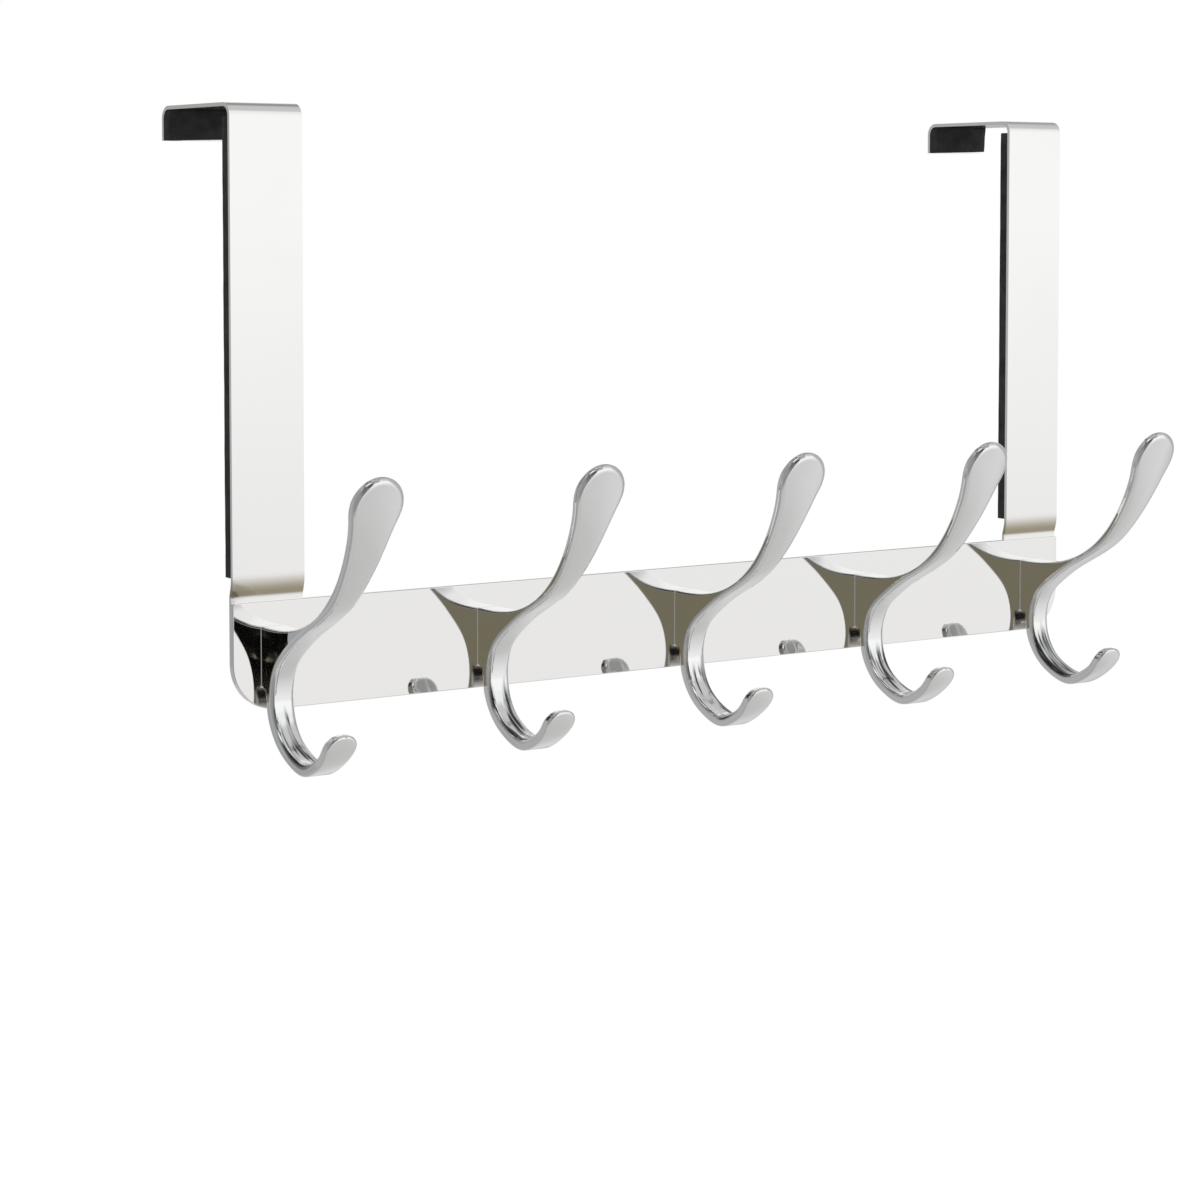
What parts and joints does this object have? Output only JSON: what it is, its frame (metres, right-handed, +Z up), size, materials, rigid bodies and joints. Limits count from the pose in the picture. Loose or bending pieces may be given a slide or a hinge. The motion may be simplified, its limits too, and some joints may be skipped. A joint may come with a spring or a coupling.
{
  "type": "over door hook",
  "caption": "Polished flat rail with double coat hooks, hung over a door's top edge by two bent straps with foam pads.",
  "frame": {"origin": "middle of the door's top front edge: the foam strips press on the door at Y = 0 and the top plates lie at Z = 0", "axes": "+X along the rail, +Y back through the door, +Z up; the hooks point along -Y"},
  "size_m": [0.348, 0.1137, 0.206],
  "materials": {
    "rail_steel": "mirror polished",
    "strap_steel": "polished",
    "hook_chrome": "bright chrome plating on a casting",
    "screw_steel": "zinc plated",
    "foam": "black closed-cell foam"
  },
  "bodies": {
    "root": {"rail": "rail_steel", "strap_left": "strap_steel", "strap_right": "strap_steel", "strap_pad_left": "foam", "strap_pad_right": "foam", "lip_pad_left": "foam", "lip_pad_right": "foam", "hook_1": "hook_chrome", "hook_2": "hook_chrome", "hook_3": "hook_chrome", "hook_4": "hook_chrome", "hook_5": "hook_chrome", "middle_hook_screws": "screw_steel", "end_hook_screws": "screw_steel"}
  },
  "joints": []
}
